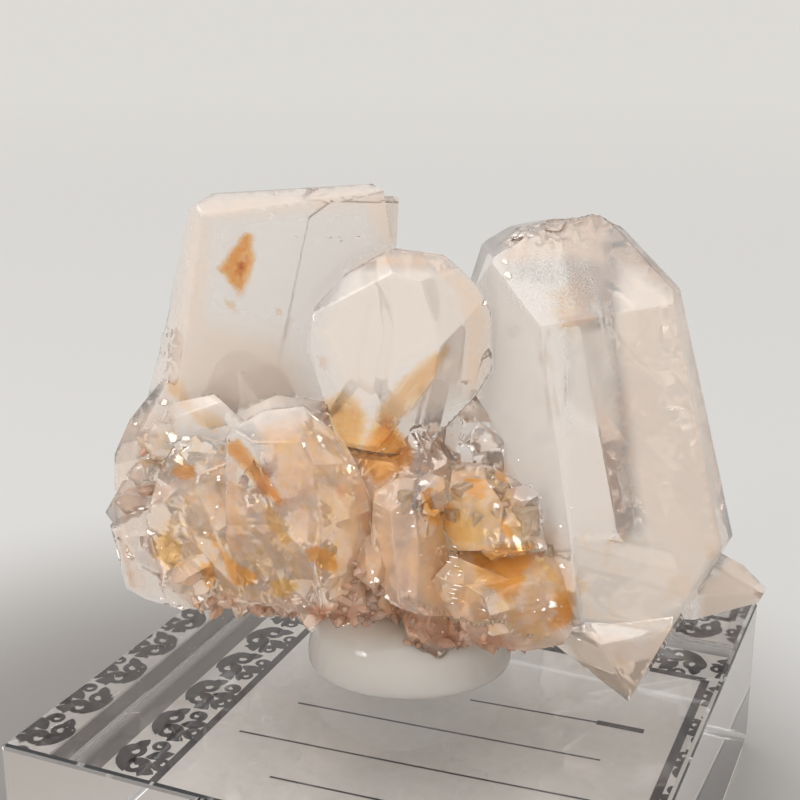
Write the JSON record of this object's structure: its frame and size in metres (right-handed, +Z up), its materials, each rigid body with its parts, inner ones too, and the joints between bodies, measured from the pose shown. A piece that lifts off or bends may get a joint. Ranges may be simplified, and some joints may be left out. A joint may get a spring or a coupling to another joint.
{
  "type": "mounted quartz crystal cluster",
  "caption": "Cluster of clear, iron-stained quartz crystals held by putty on a clear display block with a label card under it.",
  "frame": {"origin": "on the ground under the middle of the display block, at the label card's lower face", "axes": "+Z up; X and Y along the block's sides; the front of the cluster looks toward -Y, turned 23.5 degrees about Z from the block's front side"},
  "size_m": [0.0689, 0.0636, 0.0718],
  "materials": {
    "clear_quartz": "clear to milky, iron-stained, glossy crystal faces",
    "white_putty": "translucent white, satin",
    "clear_acrylic": "clear, polished",
    "label_card": "matte printed card"
  },
  "bodies": {
    "root": {"quartz_cluster": "clear_quartz", "mounting_putty": "white_putty", "acrylic_block": "clear_acrylic", "label_card": "label_card"}
  },
  "joints": []
}
